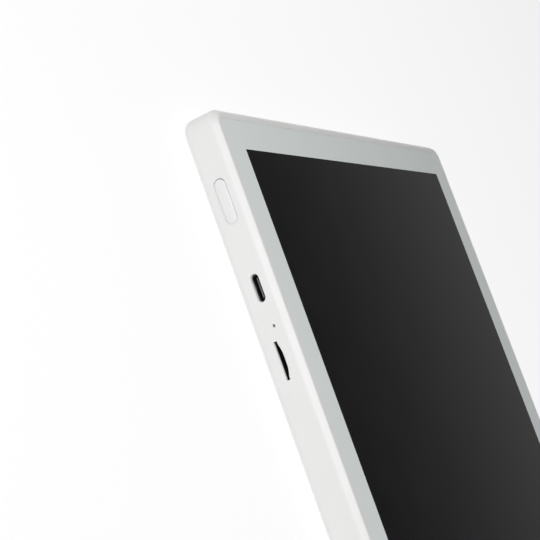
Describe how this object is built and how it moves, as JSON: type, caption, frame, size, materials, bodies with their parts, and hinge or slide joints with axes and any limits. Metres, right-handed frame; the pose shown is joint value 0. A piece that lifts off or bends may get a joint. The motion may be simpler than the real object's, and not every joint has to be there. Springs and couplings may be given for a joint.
{
  "type": "e-reader",
  "caption": "Slim tablet-shaped e-reader: flat screen in a pale border, rounded white body, with power button, charging socket, microphone hole and card slot in one side.",
  "frame": {"origin": "centre of the flat back face, at the mount back_face", "axes": "+X to the right across the screen, +Y to the top of the page, +Z out of the screen"},
  "size_m": [0.1944, 0.25, 0.012],
  "materials": {
    "housing_white": "fine satin moulding texture",
    "button_white": "smooth satin",
    "cover_glass": "polished, anti-glare coated",
    "border_print": "cool grey ink behind the glass",
    "display_dark": "near-black e-paper picture area",
    "clear_film": "optically clear",
    "frame_magnesium": "cast, bead blasted",
    "steel": "stamped",
    "port_steel": "dark plated",
    "black_plastic": "moulded",
    "port_plastic": "moulded, smooth",
    "soft_rubber": "soft",
    "pale_plastic": "moulded",
    "board_laminate": "solder mask over copper",
    "flex_film": "polyimide film",
    "battery_foil": "laminated pouch foil",
    "tape": "foam tape",
    "chip": "moulded package"
  },
  "bodies": {
    "body": {"rear_housing": "housing_white", "cover_lens": "cover_glass", "mask_film": "border_print", "lens_adhesive": "tape", "touch_sensor": "clear_film", "light_guide": "clear_film", "epaper_panel": "display_dark", "led_strip": "pale_plastic", "panel_flex": "flex_film", "panel_socket": "black_plastic", "chassis": "frame_magnesium", "main_board": "board_laminate", "processor_shield": "steel", "radio_shield": "steel", "processor": "chip", "memory_chip": "chip", "radio_chip": "chip", "power_chip": "chip", "power_coil": "chip", "battery_socket": "black_plastic", "thermal_pad": "soft_rubber", "usb_shell": "port_steel", "usb_tongue": "port_plastic", "card_socket_cover": "steel", "card_socket_base": "black_plastic", "card_spring": "steel", "mic_boot": "soft_rubber", "microphone": "steel", "power_switch": "black_plastic", "battery_cell": "battery_foil", "battery_tape": "tape", "battery_guard_board": "board_laminate", "battery_lead": "black_plastic", "wifi_antenna": "flex_film", "antenna_socket": "steel", "antenna_cable": "black_plastic", "board_screw_1": "steel", "board_screw_2": "steel", "board_screw_3": "steel", "board_screw_4": "steel", "board_screw_5": "steel", "board_screw_6": "steel"},
    "button": {"power_button": "button_white"},
    "plunger": {"switch_plunger": "pale_plastic"},
    "card_carrier": {"card_slider": "black_plastic"}
  },
  "joints": [
    {"name": "power_press", "type": "slide", "parent": "body", "child": "button", "axis": [1, 0, 0], "range_m": [0, 0.00035], "stiffness_N_per_m": 1500},
    {"name": "switch_press", "type": "slide", "parent": "body", "child": "plunger", "axis": [1, 0, 0], "range_m": [0, 0.00035]},
    {"name": "card_push", "type": "slide", "parent": "body", "child": "card_carrier", "axis": [1, 0, 0], "range_m": [0, 0.003], "stiffness_N_per_m": 250, "deforming": ["card_spring"]}
  ],
  "couplings": [
    {"joint": "switch_press", "follows": "power_press", "ratio": 1}
  ]
}
